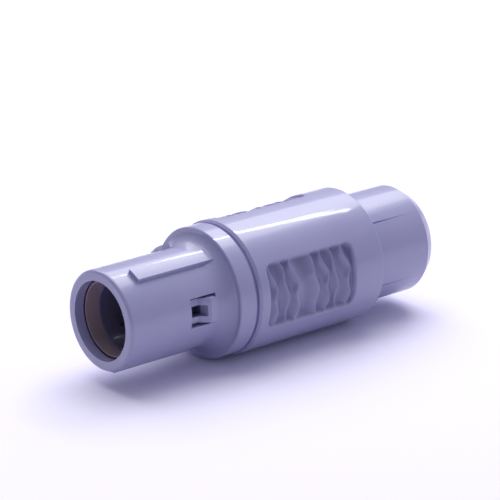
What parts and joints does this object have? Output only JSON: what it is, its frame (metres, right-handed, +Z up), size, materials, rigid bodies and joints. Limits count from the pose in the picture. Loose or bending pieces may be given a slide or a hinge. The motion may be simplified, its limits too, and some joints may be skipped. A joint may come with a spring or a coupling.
{
  "type": "push-pull circular cable plug",
  "caption": "Push-pull circular cable plug: latched nose with key ribs and pins inside, sliding release shell with wavy grips, and a screwed cable nut.",
  "frame": {"origin": "on the surface the plug stands on, on its own axis", "axes": "+Z up along the plug's axis from the cable end to the nose; the first latch window faces -Y"},
  "size_m": [0.014, 0.014, 0.04],
  "materials": {
    "shell_plastic": "satin moulded plastic, grey with a lavender cast",
    "latch_plastic": "satin moulded plastic, grey with a lavender cast",
    "ring_plastic": "tan moulded plastic",
    "insulator_plastic": "dark high-temperature plastic",
    "carrier_plastic": "natural moulded plastic",
    "collet_plastic": "natural moulded plastic",
    "gold_plate": "gold-plated brass"
  },
  "bodies": {
    "core": {"latch_sleeve": "latch_plastic", "front_ring": "ring_plastic", "insulator": "insulator_plastic", "insert_carrier_upper": "carrier_plastic", "insert_carrier_lower": "carrier_plastic", "contact_01": "gold_plate", "contact_02": "gold_plate", "contact_03": "gold_plate", "contact_04": "gold_plate", "contact_05": "gold_plate", "contact_06": "gold_plate", "contact_07": "gold_plate", "contact_08": "gold_plate", "contact_09": "gold_plate", "contact_10": "gold_plate", "contact_11": "gold_plate", "contact_12": "gold_plate", "contact_13": "gold_plate", "contact_14": "gold_plate"},
    "shell": {"outer_shell": "shell_plastic"},
    "collet": {"cable_collet": "collet_plastic"},
    "nut": {"collet_nut": "shell_plastic"}
  },
  "joints": [
    {"name": "release_slide", "type": "slide", "parent": "core", "child": "shell", "axis": [0, 0, -1], "range_m": [0, 0.0012], "stiffness_N_per_m": 200},
    {"name": "collet_slide", "type": "slide", "parent": "core", "child": "collet", "axis": [0, 0, -1], "range_m": [0, 0.003]},
    {"name": "nut_turn", "type": "hinge", "parent": "collet", "child": "nut", "pos_m": [0, 0, 0.0015], "axis": [0, 0, -1], "range_deg": [0, 1440]}
  ],
  "couplings": [
    {"joint": "nut_turn", "follows": "collet_slide", "rad_per_m": 8377.6}
  ]
}
